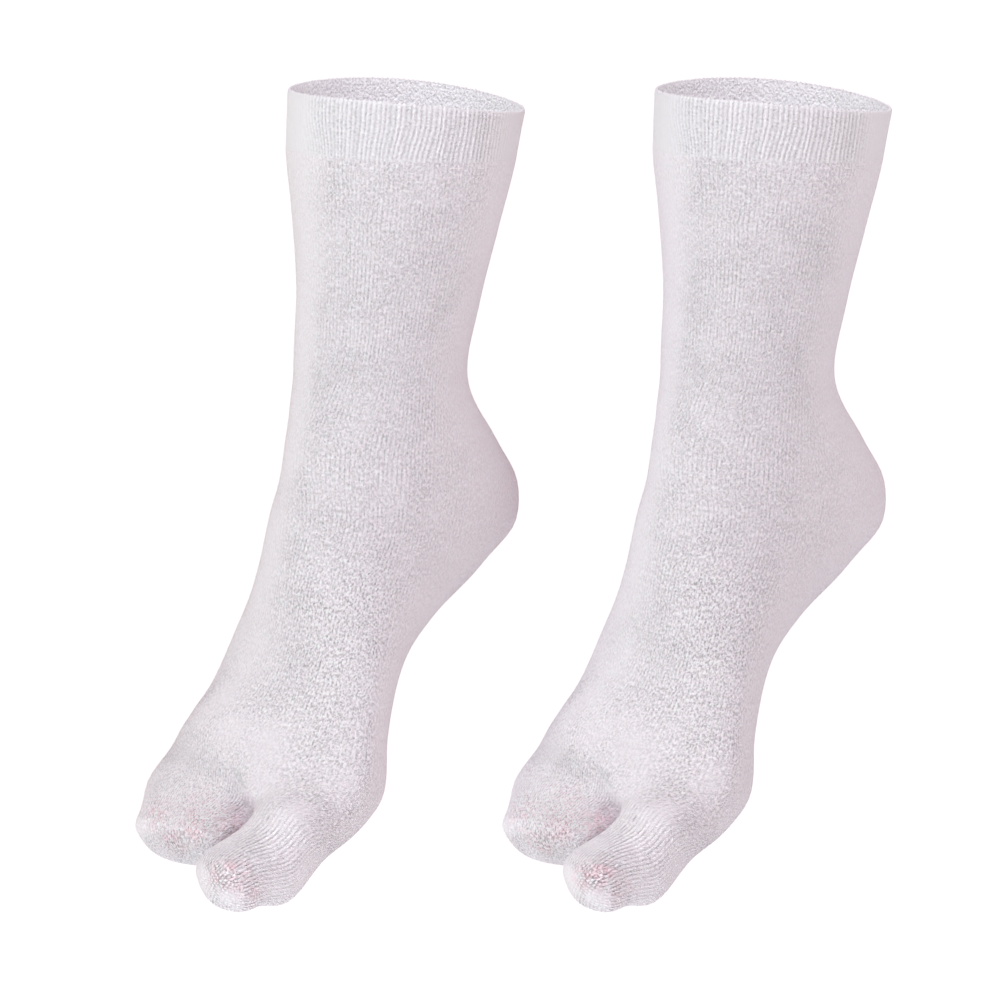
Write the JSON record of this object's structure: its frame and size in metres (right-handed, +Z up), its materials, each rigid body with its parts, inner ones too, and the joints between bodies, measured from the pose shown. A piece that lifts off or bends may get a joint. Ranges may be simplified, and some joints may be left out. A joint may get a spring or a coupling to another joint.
{
  "type": "pair of tabi socks",
  "caption": "Hollow knitted split-toe socks with ribbed cuffs, filled out as if worn, feet pointed and hanging side by side.",
  "frame": {"origin": "midway between the centres of the two leg openings", "axes": "+Z up along the legs, +X from the first sock to the second, -Y forwards; each sock is turned 48 degrees about Z, so its toes point to -X and -Y"},
  "size_m": [0.314, 0.1701, 0.3299],
  "materials": {
    "plain_knit": "matt white cotton in plain knit",
    "ribbed_knit": "matt white cotton in narrow ribs"
  },
  "bodies": {
    "root": {"first_sock_cuff": "ribbed_knit", "first_sock_body": "plain_knit", "second_sock_cuff": "ribbed_knit", "second_sock_body": "plain_knit"}
  },
  "joints": []
}
